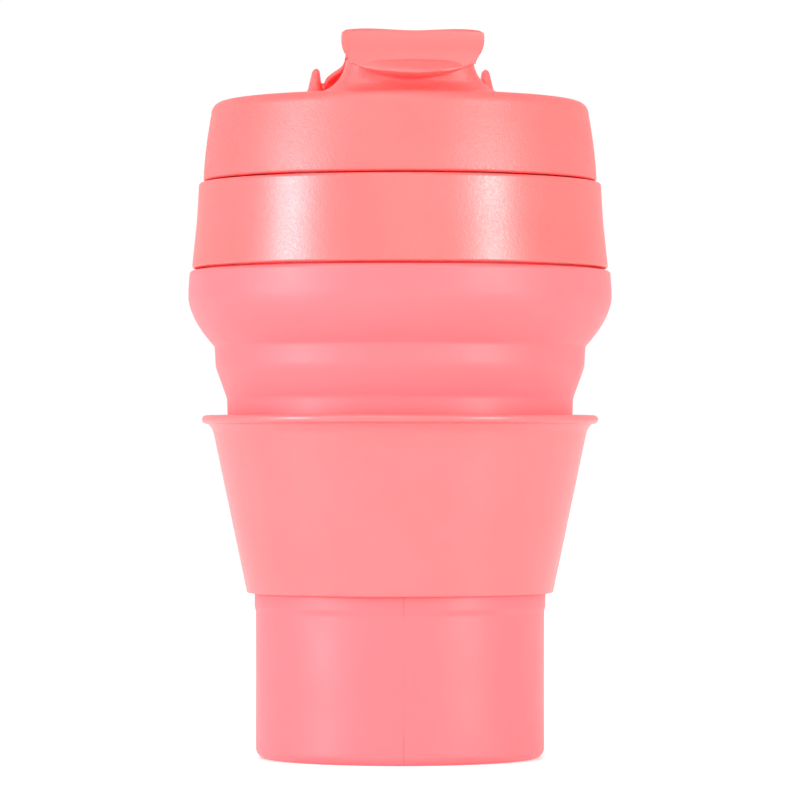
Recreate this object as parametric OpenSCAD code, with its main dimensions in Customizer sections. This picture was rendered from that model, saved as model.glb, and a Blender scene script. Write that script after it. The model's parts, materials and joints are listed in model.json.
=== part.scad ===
// Collapsible travel cup: a folding silicone body, a hard collar with a screw lid,
// a sliding grip sleeve and a flip-up flap over the mouthpiece.
// The origin is the centre of the foot, +Z is up and the mouthpiece faces -Y.

/* [Silicone body] */
// Outer radius of the straight foot
base_r = 32.4; // [32:0.1:32.6]
// Height of the straight foot, its hidden part included
base_h = 54; // [53:0.5:54]
// Wall of the foot
base_wall = 2; // [1.8:0.1:2.4]
// Thickness of the floor
floor_t = 2.6; // [2:0.1:3.5]
// Radius of the bottom outer corner
foot_corner_r = 2.2; // [1:0.1:2.2]
// Extra radius of the grip band under the sleeve
bead_step = 0.3; // [0.1:0.05:0.35]
// Height at which the grip band starts
bead_z = 33; // [30:0.1:34]
// Height of the slope up to the grip band
bead_rise = 0.8; // [0.6:0.1:1.2]
// Wall of each folding tier
tier_wall = 1.4; // [1.2:0.1:1.6]
// Wall of the thin webs that fold
web_wall = 1; // [0.8:0.1:1.1]
// Outer radius of each tier, from the lowest up
tier_r = [35.6, 38.7, 41.5];
// Bottom height of each tier
tier_z = [62, 74, 88];
// Top height of each tier
tier_top = [66, 80, 92];
// How much each tier widens towards its top
tier_flare = 0.2; // [0:0.1:0.3]
// Outer radius of the top band
band_r = 47.6; // [47.4:0.1:47.8]
// Bottom and top height of the top band
band_z = [102, 109.3];

/* [Collar and neck] */
// Bottom and top height of the hard collar
collar_z = [109.8, 129];
// Outer radius of the collar at its bottom and at its top
collar_r = [46.8, 45.3];
// Inner radius of the collar
collar_bore_r = 44; // [43.6:0.1:44.2]
// Radius of the collar's top edge
collar_edge_r = 1.1; // [0.6:0.1:1.1]
// Inner radius of the mouth
mouth_r = 37.6; // [37.4:0.1:37.8]
// Outer radius of the threaded neck
neck_r = 39.9; // [39.6:0.1:40]
// Bottom and top height of the neck ring
neck_z = [111, 142];

/* [Thread] */
// Rise of the lid in one full turn
thread_lead = 24; // [24:1:24]
// Number of thread starts
thread_starts = 4; // [4:1:4]
// Angle that each thread ridge spans
thread_span = 75; // [50:5:75]
// Height of a ridge above its wall
ridge_h = 1.5; // [1.2:0.1:1.5]

/* [Sleeve] */
// Bottom height of the grip sleeve with the cup open
sleeve_z = 37; // [36:0.5:37]
// Outer radius of the sleeve's lower edge
sleeve_r = 34.4; // [34.4:0.1:34.8]
// Wall of the sleeve
sleeve_wall = 1.2; // [1:0.1:1.2]
// Half angle of the sleeve's cone
sleeve_angle = 11.8; // [11.5:0.1:12]
// Height of the straight cone
sleeve_cone_h = 34.8; // [34:0.1:35]
// Radius of the flared lip's outer curve
lip_r = 6.05; // [5:0.05:6.1]
// Angle from the vertical at which the lip ends
lip_end = 60; // [50:1:62]

/* [Lid] */
// Bottom and top height of the lid
lid_z = [129.4, 147.2];
// Outer radius of the lid's lower edge
lid_r = 44.2; // [44.1:0.1:44.4]
// Radius of the lid's shoulder
lid_edge_r = 2.7; // [2:0.1:2.8]
// Inner radius of the lid's threaded part
lid_bore_r = 41.8; // [41.7:0.1:42]
// Thickness of the lid's top
lid_top_t = 2; // [1.6:0.1:2.2]

/* [Mouthpiece and flap] */
// Top height of the mouthpiece
spout_top = 155; // [154.5:0.1:155]
// Width of the mouthpiece at its top
spout_w = 28.7; // [28:0.1:29]
// Front and rear of the mouthpiece at its top
spout_y = [-34.2, -18];
// Radius of the concave foot of the mouthpiece
spout_flare_r = 3.6; // [3:0.1:3.8]
// Radius of the wider concave foot at the mouthpiece's two ends
spout_end_flare_r = 8; // [7.8:0.1:9]
// Wall of the mouthpiece
spout_wall = 1.8; // [1.6:0.1:2]
// Length and width of the drinking slot
slot_size = [14, 6];
// Place of the flap's hinge line, as Y and Z
hinge_yz = [-2, 149.9];
// Radius of the flap's stub pins
trunnion_r = 1.5; // [1.3:0.1:1.6]
// Radial play of a stub pin in its ear
trunnion_play = 0.06; // [0.04:0.01:0.08]
// Width of the flap's knuckle
knuckle_w = 34.4; // [34:0.1:34.6]
// Radius of the flap's knuckle
knuckle_r = 2.1; // [1.9:0.1:2.2]
// Top height of the ears
ear_top = 154.6; // [154:0.1:155]
// Width of the flap's tab along its top edge
tab_w = 31.4; // [31:0.1:31.6]
// Width of the flap's neck
tab_neck_w = 27.8; // [27.6:0.1:28]
// Top height of the flap's tab
tab_top = 160.8; // [160.4:0.1:161]
// Wall of the flap
flap_wall = 1.8; // [1.6:0.1:2]

/* [Hidden] */
$fn = 96;

silicone = "lightcoral";
plastic = "salmon";
seal = "mistyrose";
bead_r = base_r + bead_step;
base_in = base_r - base_wall;
tier_top_r = [for (r = tier_r) r + tier_flare];
band_in = band_r - 2.4;
band_low_r = band_r - 0.1;
rim_neck_r = 41.4;
rim_neck_top = 122;
rim_shelf_t = 2.5;
eps = 0.01;
arc_steps = 8;

// Points on an arc in the profile plane, from angle a0 to angle a1
function arc(r, z, radius, a0, a1, n = arc_steps) =
    [for (i = [0:n]) let (a = a0 + (a1 - a0) * i / n) [r + radius * cos(a), z + radius * sin(a)]];

// A solid of revolution about +Z from a profile of [radius, height] points
module turned(profile) {
    rotate_extrude($fn = 160) polygon(profile);
}

// A straight or conical wall between two heights
module wall_ring(r0, r1, z0, z1, t) {
    turned([[r0 - t, z0], [r0, z0], [r1, z1], [r1 - t, z1]]);
}

// Outer radius of the curved top web at a fraction of its height
bell_power = 1.8;
function bell_r(f) = tier_top_r[2] + (band_low_r - tier_top_r[2]) * (1 - pow(1 - f, bell_power));

// ---- silicone body ----
module base_cup() {
    recess_r = 27;
    recess_h = 0.6;
    fillet_r = 3;
    color(silicone) turned(concat(
        [[0, recess_h], [recess_r, recess_h], [recess_r + recess_h, 0]],
        arc(base_r - foot_corner_r, foot_corner_r, foot_corner_r, -90, 0),
        [[base_r, bead_z], [bead_r, bead_z + bead_rise], [bead_r, base_h], [base_in, base_h]],
        arc(base_in - fillet_r, floor_t + fillet_r, fillet_r, 0, -90),
        [[0, floor_t]]
    ));
}

module fold_web_1() {
    color(silicone) wall_ring(bead_r, tier_r[0], base_h, tier_z[0], web_wall);
}

module tier(i) {
    color(silicone) wall_ring(tier_r[i], tier_top_r[i], tier_z[i], tier_top[i], tier_wall);
}

module tier_1() {
    tier(0);
}

module fold_web_2() {
    color(silicone) wall_ring(tier_top_r[0], tier_r[1], tier_top[0], tier_z[1], web_wall);
}

module tier_2() {
    tier(1);
}

module fold_web_3() {
    color(silicone) wall_ring(tier_top_r[1], tier_r[2], tier_top[1], tier_z[2], web_wall);
}

module tier_3() {
    tier(2);
}

module fold_web_4() {
    h = band_z[0] - tier_top[2];
    n = 8;
    outer = [for (i = [0:n]) [bell_r(i / n), tier_top[2] + h * i / n]];
    inner = [for (i = [n:-1:0]) [bell_r(i / n) - web_wall, tier_top[2] + h * i / n]];
    color(silicone) turned(concat(outer, inner));
}

module rim_band() {
    edge_r = 0.9;
    taper = 0.2;
    wall_rise = 2.5;
    top_r = band_r - taper;
    color(silicone) turned(concat(
        [[band_low_r - web_wall, band_z[0]], [band_low_r, band_z[0]], [band_r, band_z[0] + 1]],
        arc(top_r - edge_r, band_z[1] - edge_r, edge_r, 0, 90, 4),
        [[collar_bore_r, band_z[1]], [collar_bore_r, rim_neck_top], [rim_neck_r, rim_neck_top],
         [rim_neck_r, band_z[1] - rim_shelf_t], [band_in, band_z[1] - rim_shelf_t],
         [band_in, band_z[0] + wall_rise]]
    ));
}

// ---- hard collar and neck ----
module collar() {
    bevel = [0.3, 0.5];
    waist = [collar_r[1] + 0.3, (collar_z[0] + collar_z[1]) / 2 + 2];
    color(plastic) turned(concat(
        [[collar_bore_r, collar_z[0]], [collar_r[0] - bevel[0], collar_z[0]],
         [collar_r[0], collar_z[0] + bevel[1]], waist],
        arc(collar_r[1] - collar_edge_r, collar_z[1] - collar_edge_r, collar_edge_r, 0, 90, 4),
        [[collar_bore_r, collar_z[1]]]
    ));
}

// One thread ridge that climbs at the thread's lead, on a wall that faces out (side 1) or in (side -1)
module ridge(wall_r, side, z) {
    n = 12;
    root_w = 2.4;
    crest_w = 1.4;
    bury = 0.5;
    function height(i) = ridge_h * min(1, 0.25 + min(i, n - i) / 2);
    points = [for (i = [0:n]) let (
        a = thread_span * i / n,
        zc = z + thread_lead * a / 360,
        foot = wall_r - side * bury,
        top = wall_r + side * height(i)
    ) each [
        [foot * cos(a), foot * sin(a), zc - root_w / 2],
        [top * cos(a), top * sin(a), zc - crest_w / 2],
        [top * cos(a), top * sin(a), zc + crest_w / 2],
        [foot * cos(a), foot * sin(a), zc + root_w / 2]
    ]];
    strip = [for (i = [0:n - 1], k = [0:3]) let (p = 4 * i + k, q = 4 * i + (k + 1) % 4)
        side < 0 ? [p, p + 4, q + 4, q] : [p, q, q + 4, p + 4]];
    ends = side < 0 ? [[0, 1, 2, 3], [4 * n + 3, 4 * n + 2, 4 * n + 1, 4 * n]]
                    : [[3, 2, 1, 0], [4 * n, 4 * n + 1, 4 * n + 2, 4 * n + 3]];
    polyhedron(points = points, faces = concat(strip, ends), convexity = 4);
}

module thread(wall_r, side, z) {
    for (k = [0:thread_starts - 1])
        rotate(360 / thread_starts * k) ridge(wall_r, side, z);
}

// The ridges on the lid run midway between those on the neck
thread_pitch = thread_lead / thread_starts;
neck_ridge_z = 134.4;
lid_ridge_z = neck_ridge_z - thread_pitch / 2;

module neck_ring() {
    bevel = 0.4;
    flange_top = collar_z[1] - bevel;
    bevel_z = neck_z[1] - bevel;
    color(plastic) {
        turned([[mouth_r, neck_z[0]], [rim_neck_r, neck_z[0]], [rim_neck_r, rim_neck_top],
                [collar_bore_r, rim_neck_top], [collar_bore_r, flange_top], [neck_r, flange_top],
                [neck_r, bevel_z], [neck_r - bevel, neck_z[1]], [mouth_r + bevel, neck_z[1]],
                [mouth_r, bevel_z]]);
        thread(neck_r, 1, neck_ridge_z);
    }
}

// ---- grip sleeve ----
module sleeve() {
    low = sleeve_wall / cos(sleeve_angle);
    cone_top = sleeve_z + sleeve_cone_h;
    curve_r = sleeve_r + sleeve_cone_h * tan(sleeve_angle) + lip_r * cos(sleeve_angle);
    curve_z = cone_top - lip_r * sin(sleeve_angle);
    color(plastic) turned(concat(
        [[sleeve_r, sleeve_z]],
        arc(curve_r, curve_z, lip_r, 180 - sleeve_angle, 180 - lip_end),
        arc(curve_r, curve_z, lip_r + sleeve_wall, 180 - lip_end, 180 - sleeve_angle),
        [[sleeve_r - low, sleeve_z]]
    ));
}

// ---- lid ----
lid_under = lid_z[1] - lid_top_t;
gasket_z = [neck_z[1] + 0.3, lid_under - 0.1];

// The gasket lies under the lid's top and seals on the neck's rim
gasket_r = [37.2, 40.5];

module lid_gasket() {
    color(seal) wall_ring(gasket_r[1], gasket_r[1], gasket_z[0], gasket_z[1], gasket_r[1] - gasket_r[0]);
}

// Outer radius of the lid's side, which closes in slowly towards the top
lid_lean = 0.0227;
lid_lean_power = 1.6;
function lid_side_r(z) = lid_r - lid_lean * pow(z - lid_z[0], lid_lean_power);

module lid_shell() {
    side_n = 6;
    shoulder_z = lid_z[1] - lid_edge_r;
    shoulder_r = lid_side_r(shoulder_z);
    bore_top = 141;
    hollow_r = 40.9;
    rib_r = [36, 36.9];
    rib_z = gasket_z[0] + 1.2;
    foot_bevel = 0.4;
    side_low = lid_z[0] + foot_bevel;
    side = [for (i = [0:side_n]) let (z = side_low + (shoulder_z - side_low) * i / side_n)
        [lid_side_r(z), z]];
    color(plastic) {
        difference() {
            turned(concat(
                [[0, lid_under], [hollow_r, lid_under], [lid_bore_r, bore_top], [lid_bore_r, lid_z[0]],
                 [lid_r - foot_bevel, lid_z[0]]],
                side,
                arc(shoulder_r - lid_edge_r, shoulder_z, lid_edge_r, 0, 90, 5),
                [[0, lid_z[1]]]
            ));
            spout_hollow();
        }
        // The rib that keeps the gasket in place
        wall_ring(rib_r[1], rib_r[1], rib_z, lid_under + eps, rib_r[1] - rib_r[0]);
        thread(lid_bore_r, -1, lid_ridge_z);
    }
}

// A flat outline with round corners, centred on the origin
module round_rect(w, d, r) {
    square([w - 2 * r, d], center = true);
    square([w, d - 2 * r], center = true);
    for (x = [-1, 1], y = [-1, 1])
        translate([x * (w / 2 - r), y * (d / 2 - r)]) circle(r);
}

// A solid whose outline in the front view is the child, running along Y
module along_y(y0, y1) {
    translate([0, y1, 0]) rotate([90, 0, 0]) linear_extrude(y1 - y0) children();
}

// A solid whose outline in the side view, as Y and Z, is the child, centred on X = 0
module along_x(width) {
    translate([-width / 2, 0, 0]) rotate([90, 0, 90]) linear_extrude(width) children();
}

// Side points of the mouthpiece: nearly straight down, then a concave foot of radius r
function flared(x, side, r) = let (a0 = asin(max(0, 1 - (spout_top - lid_z[1]) / r))) concat(
    [[x + side * r * (1 - cos(a0)), spout_top]],
    [for (i = [0:arc_steps]) let (a = a0 + (90 - a0) * i / arc_steps)
        if (i > 0 || a0 == 0) [x + side * r * (1 - cos(a)), lid_z[1] + r * (1 - sin(a))]]
);

function reversed(list) = [for (i = [len(list) - 1:-1:0]) list[i]];

// The whole outline of the mouthpiece between two positions
function flared_pair(low, high, r) = concat(flared(high, 1, r), reversed(flared(low, -1, r)));

spout_mid_y = (spout_y[0] + spout_y[1]) / 2;
spout_d = spout_y[1] - spout_y[0];

module spout_hollow() {
    w = spout_w - 2 * spout_wall;
    d = spout_d - 2 * spout_wall;
    translate([0, spout_mid_y, lid_under - eps])
        linear_extrude(spout_top - spout_wall - lid_under + eps) round_rect(w, d, 3);
}

module slot_outline(length, width) {
    square([length - width, width], center = true);
    for (x = [-1, 1])
        translate([x * (length - width) / 2, 0]) circle(width / 2);
}

module lid_spout() {
    half = spout_w / 2;
    foot_w = spout_w + 2 * spout_end_flare_r;
    foot_d = spout_d + 2 * spout_flare_r;
    foot_corner = 10;
    color(plastic) difference() {
        intersection() {
            along_y(spout_mid_y - foot_d, spout_mid_y + foot_d)
                polygon(flared_pair(-half, half, spout_end_flare_r));
            along_x(2 * foot_w)
                polygon(flared_pair(spout_y[0], spout_y[1], spout_flare_r));
            translate([0, spout_mid_y, lid_z[1] - 1]) linear_extrude(spout_top)
                round_rect(foot_w, foot_d, foot_corner);
            translate([0, 0, lid_z[1] - 1])
                cylinder(r = lid_side_r(lid_z[1]) - lid_edge_r, h = spout_top, $fn = 160);
        }
        spout_hollow();
        translate([0, spout_mid_y, spout_top - 2 * spout_wall])
            linear_extrude(3 * spout_wall) slot_outline(slot_size[0], slot_size[1]);
    }
}

// Each ear leans in towards its tip and holds one stub pin of the flap in a blind hole
module hinge_ears() {
    side_play = 0.35;
    inner_x = knuckle_w / 2 + side_play;
    base_x = 21.95;
    tip_x = [18.3, 19.7];
    hole_x = 19;
    half_base = 5.2;
    tip_r = 1.8;
    base_z = lid_z[1];
    color(plastic) for (m = [0, 1]) mirror([m, 0, 0]) difference() {
        intersection() {
            along_x(2 * base_x) {
                polygon([[hinge_yz[0] - half_base, base_z], [hinge_yz[0] + half_base, base_z],
                         [hinge_yz[0] + tip_r, ear_top - tip_r], [hinge_yz[0] - tip_r, ear_top - tip_r]]);
                translate([hinge_yz[0], ear_top - tip_r]) circle(tip_r);
            }
            along_y(hinge_yz[0] - half_base, hinge_yz[0] + half_base)
                polygon([[inner_x, base_z], [base_x, base_z], [tip_x[1], ear_top], [tip_x[0], ear_top]]);
        }
        translate([inner_x - 1, hinge_yz[0], hinge_yz[1]])
            rotate([0, 90, 0]) cylinder(r = trunnion_r + trunnion_play, h = hole_x - inner_x + 1);
    }
}

// ---- flap ----
cap_gap = 0.4;
cap_under = spout_top + cap_gap;
curtain_y = spout_y[0] - cap_gap;
tab_y = -37.2;
cap_rear_y = spout_y[1] - 1;
lip_bottom = 150;
lip_front = -38.6;
smile_r = 30.5;
rear_top_z = hinge_yz[1] + knuckle_r;
neck_half = tab_neck_w / 2;
tab_half = tab_w / 2;

// Side outline of the flap from the knuckle to the tab
module flap_side() {
    polygon([
        [hinge_yz[0], rear_top_z], [-8, 153.4], [-13, 154.9], [-18, 156.5], [-27, 158.9],
        [tab_y + 0.8, tab_top], [tab_y, tab_top - 0.5], [-36.2, 158], [-36, 156.2], [-36.1, 154.4],
        [-36.6, 153.9], [-38.1, 152.5], [lip_front, 151.4], [lip_front + 0.3, 150.9], [-36.3, lip_bottom],
        [curtain_y, lip_bottom], [curtain_y, cap_under], [spout_y[1] + 0.6, cap_under], [-12, 153.4],
        [-6, 151.4], [hinge_yz[0] - 1.9, hinge_yz[1] + 0.6], [hinge_yz[0], hinge_yz[1]]
    ]);
}

// The room above the mouthpiece inside the flap
room_top = 157;

module flap_room() {
    along_x(tab_neck_w - 2 * flap_wall)
        polygon([[curtain_y + 1, cap_under - 1], [curtain_y + 1, room_top],
                 [cap_rear_y - flap_wall, room_top], [cap_rear_y - flap_wall, cap_under - 1]]);
}

// Right half of the tab in the front view, as X and Z, from its top down to the curtain's corner
tab_corner_r = 1.3;
tab_side = concat(
    reversed(arc(tab_half - tab_corner_r, tab_top - tab_corner_r, tab_corner_r, 0, 90, 4)),
    [[tab_half, 157.8], [tab_half - 0.4, 156.4], [neck_half + 0.4, 154.6], [neck_half - 0.4, 153.1],
     [neck_half - 0.4, lip_bottom]]
);

// The tab with its curtain and lip
module flap_front() {
    lip_round = 46;
    depth = 3;
    intersection() {
        along_y(lip_front - 1, cap_rear_y) intersection() {
            polygon(concat(tab_side, [for (p = reversed(tab_side)) [-p[0], p[1]]]));
            translate([0, lip_bottom + smile_r]) circle(smile_r, $fn = 160);
        }
        // The lip stands out most at its middle
        translate([0, lip_front + lip_round, lip_bottom - 1]) cylinder(r = lip_round, h = 12, $fn = 160);
        // The cap behind the tab is narrower than the tab
        translate([0, 0, lip_bottom - 1]) linear_extrude(12)
            polygon([[-neck_half, cap_rear_y], [-neck_half - 0.7, curtain_y], [-tab_half, curtain_y - 1],
                     [-tab_half, lip_front - depth], [tab_half, lip_front - depth],
                     [tab_half, curtain_y - 1], [neck_half + 0.7, curtain_y], [neck_half, cap_rear_y]]);
    }
}

// The arm, which widens from the cap to the knuckle
module flap_arm() {
    half = knuckle_w / 2;
    rear = hinge_yz[0];
    translate([0, 0, lip_bottom - 1]) linear_extrude(9)
        polygon([[-half, rear], [-half, rear - 2], [-half + 1.9, rear - 8], [-neck_half, rear - 11],
                 [-neck_half, cap_rear_y - eps], [neck_half, cap_rear_y - eps],
                 [neck_half, rear - 11], [half - 1.9, rear - 8], [half, rear - 2], [half, rear]]);
}

module flap() {
    pin_l = 1.5;
    color(plastic) {
        difference() {
            intersection() {
                along_x(knuckle_w) flap_side();
                union() {
                    flap_front();
                    flap_arm();
                }
            }
            flap_room();
        }
        translate([-knuckle_w / 2, hinge_yz[0], hinge_yz[1]])
            rotate([0, 90, 0]) cylinder(r = knuckle_r, h = knuckle_w);
        translate([-knuckle_w / 2 - pin_l, hinge_yz[0], hinge_yz[1]])
            rotate([0, 90, 0]) cylinder(r = trunnion_r, h = knuckle_w + 2 * pin_l);
    }
}

// The stopper fills the flap's room and enters the drinking slot
module flap_plug() {
    fit = 0.3;
    entry = 1;
    translate([0, spout_mid_y, 0]) color(seal) {
        translate([0, 0, spout_top - entry])
            linear_extrude(cap_under - spout_top + entry + eps)
                slot_outline(slot_size[0] - 2 * fit, slot_size[1] - 2 * fit);
        translate([0, 0, cap_under]) linear_extrude(room_top - cap_under)
            slot_outline(slot_size[0] + 4, slot_size[1] + 4);
    }
}

base_cup();
fold_web_1();
tier_1();
fold_web_2();
tier_2();
fold_web_3();
tier_3();
fold_web_4();
rim_band();
collar();
neck_ring();
sleeve();
lid_gasket();
lid_shell();
lid_spout();
hinge_ears();
flap();
flap_plug();
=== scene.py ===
"""Looks of the collapsible travel cup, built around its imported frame.

Lengths are in millimetres until a mesh is made.
"""

import json
import math

import bmesh
import bpy
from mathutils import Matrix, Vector


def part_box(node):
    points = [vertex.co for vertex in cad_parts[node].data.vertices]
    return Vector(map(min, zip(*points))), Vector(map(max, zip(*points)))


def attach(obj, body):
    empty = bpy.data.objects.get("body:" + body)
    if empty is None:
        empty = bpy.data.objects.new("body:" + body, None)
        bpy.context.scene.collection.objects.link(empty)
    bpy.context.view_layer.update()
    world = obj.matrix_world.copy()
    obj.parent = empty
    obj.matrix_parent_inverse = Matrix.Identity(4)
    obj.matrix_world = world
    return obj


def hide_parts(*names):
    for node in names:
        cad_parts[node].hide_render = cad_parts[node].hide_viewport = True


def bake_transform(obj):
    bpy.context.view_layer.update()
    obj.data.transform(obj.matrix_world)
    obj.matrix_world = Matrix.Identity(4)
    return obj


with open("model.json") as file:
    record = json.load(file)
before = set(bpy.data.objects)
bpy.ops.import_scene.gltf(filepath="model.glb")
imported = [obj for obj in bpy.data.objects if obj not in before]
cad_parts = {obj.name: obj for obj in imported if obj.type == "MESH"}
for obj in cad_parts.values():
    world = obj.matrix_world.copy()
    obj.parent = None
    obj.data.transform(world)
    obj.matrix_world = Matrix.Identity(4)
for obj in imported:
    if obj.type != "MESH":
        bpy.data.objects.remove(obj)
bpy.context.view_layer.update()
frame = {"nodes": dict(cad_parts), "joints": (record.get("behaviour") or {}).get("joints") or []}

MM = 0.001
TURN = 2 * math.pi
FRONT = -math.pi / 2

# ---------------------------------------------------------------- camera

CAMERA_AZIMUTH = math.radians(-4.55)
CAMERA_DISTANCE = 1069
CAMERA_HEIGHT = 69.1
AIM_HEIGHT = 80.3
LENS = 213.75


def aim(obj, target):
    """Turns an object so that its -Z looks at a point."""
    way = Vector(target) * MM - obj.location
    obj.rotation_euler = way.to_track_quat("-Z", "Y").to_euler()


def place_camera():
    """The view of the front, at the height of the cup's middle."""
    camera = bpy.data.objects.new("camera", bpy.data.cameras.new("camera"))
    bpy.context.collection.objects.link(camera)
    camera.data.lens = LENS
    camera.data.clip_end = 20
    camera.location = Vector((
        math.sin(CAMERA_AZIMUTH) * CAMERA_DISTANCE,
        -math.cos(CAMERA_AZIMUTH) * CAMERA_DISTANCE,
        CAMERA_HEIGHT,
    )) * MM
    aim(camera, (0, 0, AIM_HEIGHT))
    bpy.context.scene.camera = camera


place_camera()

# ---------------------------------------------------------------- sizes from the frame


def extent(node):
    """The largest radius, lowest height and highest height of a CAD node."""
    low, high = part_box(node)
    return max(high.x, high.y, -low.x, -low.y) / MM, low.z / MM, high.z / MM


GRIP_R, _, BASE_TOP = extent("base_cup")
TIERS = [extent(name) for name in ("tier_1", "tier_2", "tier_3")]
BAND_R, BAND_LOW, RIM_NECK_TOP = extent("rim_band")
COLLAR_R, COLLAR_LOW, COLLAR_TOP = extent("collar")
SLEEVE_R, SLEEVE_LOW, SLEEVE_TOP = extent("sleeve")
LID_R, LID_LOW, LID_TOP = extent("lid_shell")
SPOUT_TOP = extent("lid_spout")[2]
EAR_TOP = extent("hinge_ears")[2]
FLAP_TOP = extent("flap")[2]
HINGE = [j for j in frame["joints"] if j["name"] == "flap_hinge"][0]["pos_m"]
HINGE_Y, HINGE_Z = HINGE[1] / MM, HINGE[2] / MM

# Sizes that an extent doesn't give, as the frame has them
KNUCKLE_R = 2.1
KNUCKLE_HALF = 17.2
GRIP_STEP = 0.3
BASE_R = GRIP_R - GRIP_STEP
FLOOR = 2.6
COLLAR_BORE = 44
RIM_NECK_R = 41.4
RIM_SHELF = 106.8

# ---------------------------------------------------------------- mesh tools


def make_object(name, verts, faces, material, sharp_angle=35):
    """A smooth-shaded mesh object from points in millimetres."""
    mesh = bpy.data.meshes.new(name)
    mesh.from_pydata([tuple(c * MM for c in v) for v in verts], [], faces)
    bm = bmesh.new()
    bm.from_mesh(mesh)
    bmesh.ops.remove_doubles(bm, verts=bm.verts, dist=1e-7)
    bmesh.ops.recalc_face_normals(bm, faces=bm.faces)
    bm.to_mesh(mesh)
    bm.free()
    mesh.polygons.foreach_set("use_smooth", [True] * len(mesh.polygons))
    mesh.set_sharp_from_angle(angle=math.radians(sharp_angle))
    mesh.materials.append(material)
    obj = bpy.data.objects.new(name, mesh)
    bpy.context.collection.objects.link(obj)
    return obj


def mix(a, b, f):
    return a + (b - a) * f


def smooth_step(f):
    f = min(max(f, 0), 1)
    return f * f * (3 - 2 * f)


def arc(cx, cy, radius, start, end, steps):
    """Points on an arc, from angle start to angle end in degrees."""
    out = []
    for i in range(steps + 1):
        a = math.radians(mix(start, end, i / steps))
        out.append((cx + radius * math.cos(a), cy + radius * math.sin(a)))
    return out


def filleted(corners, closed=True, step=0.2):
    """Rounds the corners (x, y, radius) of an outline.

    A short edge beside each arc keeps the flats flat.
    """
    count = len(corners)
    out = []
    for i, (x, y, radius) in enumerate(corners):
        if not closed and i in (0, count - 1) or radius <= 0:
            out.append((x, y))
            continue
        here = Vector((x, y))
        before = Vector(corners[i - 1][:2]) - here
        after = Vector(corners[(i + 1) % count][:2]) - here
        room = 0.49 * min(before.length, after.length)
        before.normalize()
        after.normalize()
        half = before.angle(after) / 2
        if half > math.radians(89.5):
            out.append((x, y))
            continue
        cut = min(radius / math.tan(half), room)
        radius = cut * math.tan(half)
        centre = here + (before + after).normalized() * radius / math.sin(half)
        first = here + before * cut - centre
        last = here + after * cut - centre
        sweep = first.angle_signed(last)
        steps = max(2, math.ceil(abs(sweep) / math.radians(12)))
        margin = min(step, 0.4 * cut)
        out.append(tuple(here + before * (cut + margin)))
        for k in range(steps + 1):
            a = -sweep * k / steps
            turned = Vector((
                first.x * math.cos(a) - first.y * math.sin(a),
                first.x * math.sin(a) + first.y * math.cos(a),
            ))
            out.append(tuple(centre + turned))
        out.append(tuple(here + after * (cut + margin)))
    return out


def turned_by(a, b):
    """The angle between two directions, at most half a turn."""
    return abs((a - b + math.pi) % TURN - math.pi)


def turn_angles(count, seams=(), seam_r=40):
    """Evenly spread angles, with a few more on each side of a mould's parting line."""
    angles = {round(TURN * i / count, 6) for i in range(count)}
    for seam in seams:
        near = [seam + d / seam_r for d in (-0.5, -0.2, -0.09, 0, 0.09, 0.2, 0.5)]
        angles = {a for a in angles if min(turned_by(a, n) for n in near) > 0.4 / seam_r}
        angles |= {round(n % TURN, 6) for n in near}
    return sorted(angles)


def lathe(name, profile, material, count=224, seams=(), ridge=None, closed=True):
    """Turns a profile of (radius, height) points about +Z.

    ridge(radius, height) is how far a parting line stands out there.
    """
    ridge_half = 0.15
    angles = turn_angles(count, seams)
    outer = max(r for r, _ in profile)
    verts, rings = [], []
    for r, z in profile:
        if r < 1e-6:
            rings.append([len(verts)] * len(angles))
            verts.append((0, 0, z))
            continue
        rings.append([len(verts) + k for k in range(len(angles))])
        for a in angles:
            lift = 0
            if ridge and r > outer * 0.5:
                off = min(turned_by(a, s) for s in seams) * r
                lift = ridge(r, z) * max(0, 1 - off / ridge_half)
            verts.append(((r + lift) * math.cos(a), (r + lift) * math.sin(a), z))
    faces = []
    last = len(rings) if closed else len(rings) - 1
    for i in range(last):
        low, high = rings[i], rings[(i + 1) % len(rings)]
        for k in range(len(angles)):
            n = (k + 1) % len(angles)
            quad = [low[k], low[n], high[n], high[k]]
            face = [v for j, v in enumerate(quad) if v != quad[j - 1]]
            if len(face) > 2:
                faces.append(face)
    return make_object(name, verts, faces, material)


def loft(name, rings, material, closed=True, sharp_angle=35):
    """Joins rings of equal point count. closed joins the last ring to the first."""
    count = len(rings[0])
    verts = [p for ring in rings for p in ring]
    faces = []
    for i in range(len(rings) if closed else len(rings) - 1):
        low, high = i * count, (i + 1) % len(rings) * count
        for k in range(count):
            n = (k + 1) % count
            faces.append((low + k, low + n, high + n, high + k))
    if not closed:
        faces.append(tuple(range(count)))
        faces.append(tuple(range((len(rings) - 1) * count, len(rings) * count)))
    return make_object(name, verts, faces, material, sharp_angle)


# ---------------------------------------------------------------- materials

BODY_SEAM = FRONT + math.radians(-3.15)

# How strongly the body's parting line is tinted, by its height in tenths of a metre
SEAM_MARKS = {
    0.0: 0.9,
    0.05: 1.0,
    0.09: 0.05,
    0.31: 0.05,
    0.35: 1.0,
    0.375: 0.7,
    0.72: 0.2,
    0.735: 0.9,
    0.77: 0.05,
    0.85: 0.0,
}


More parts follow.
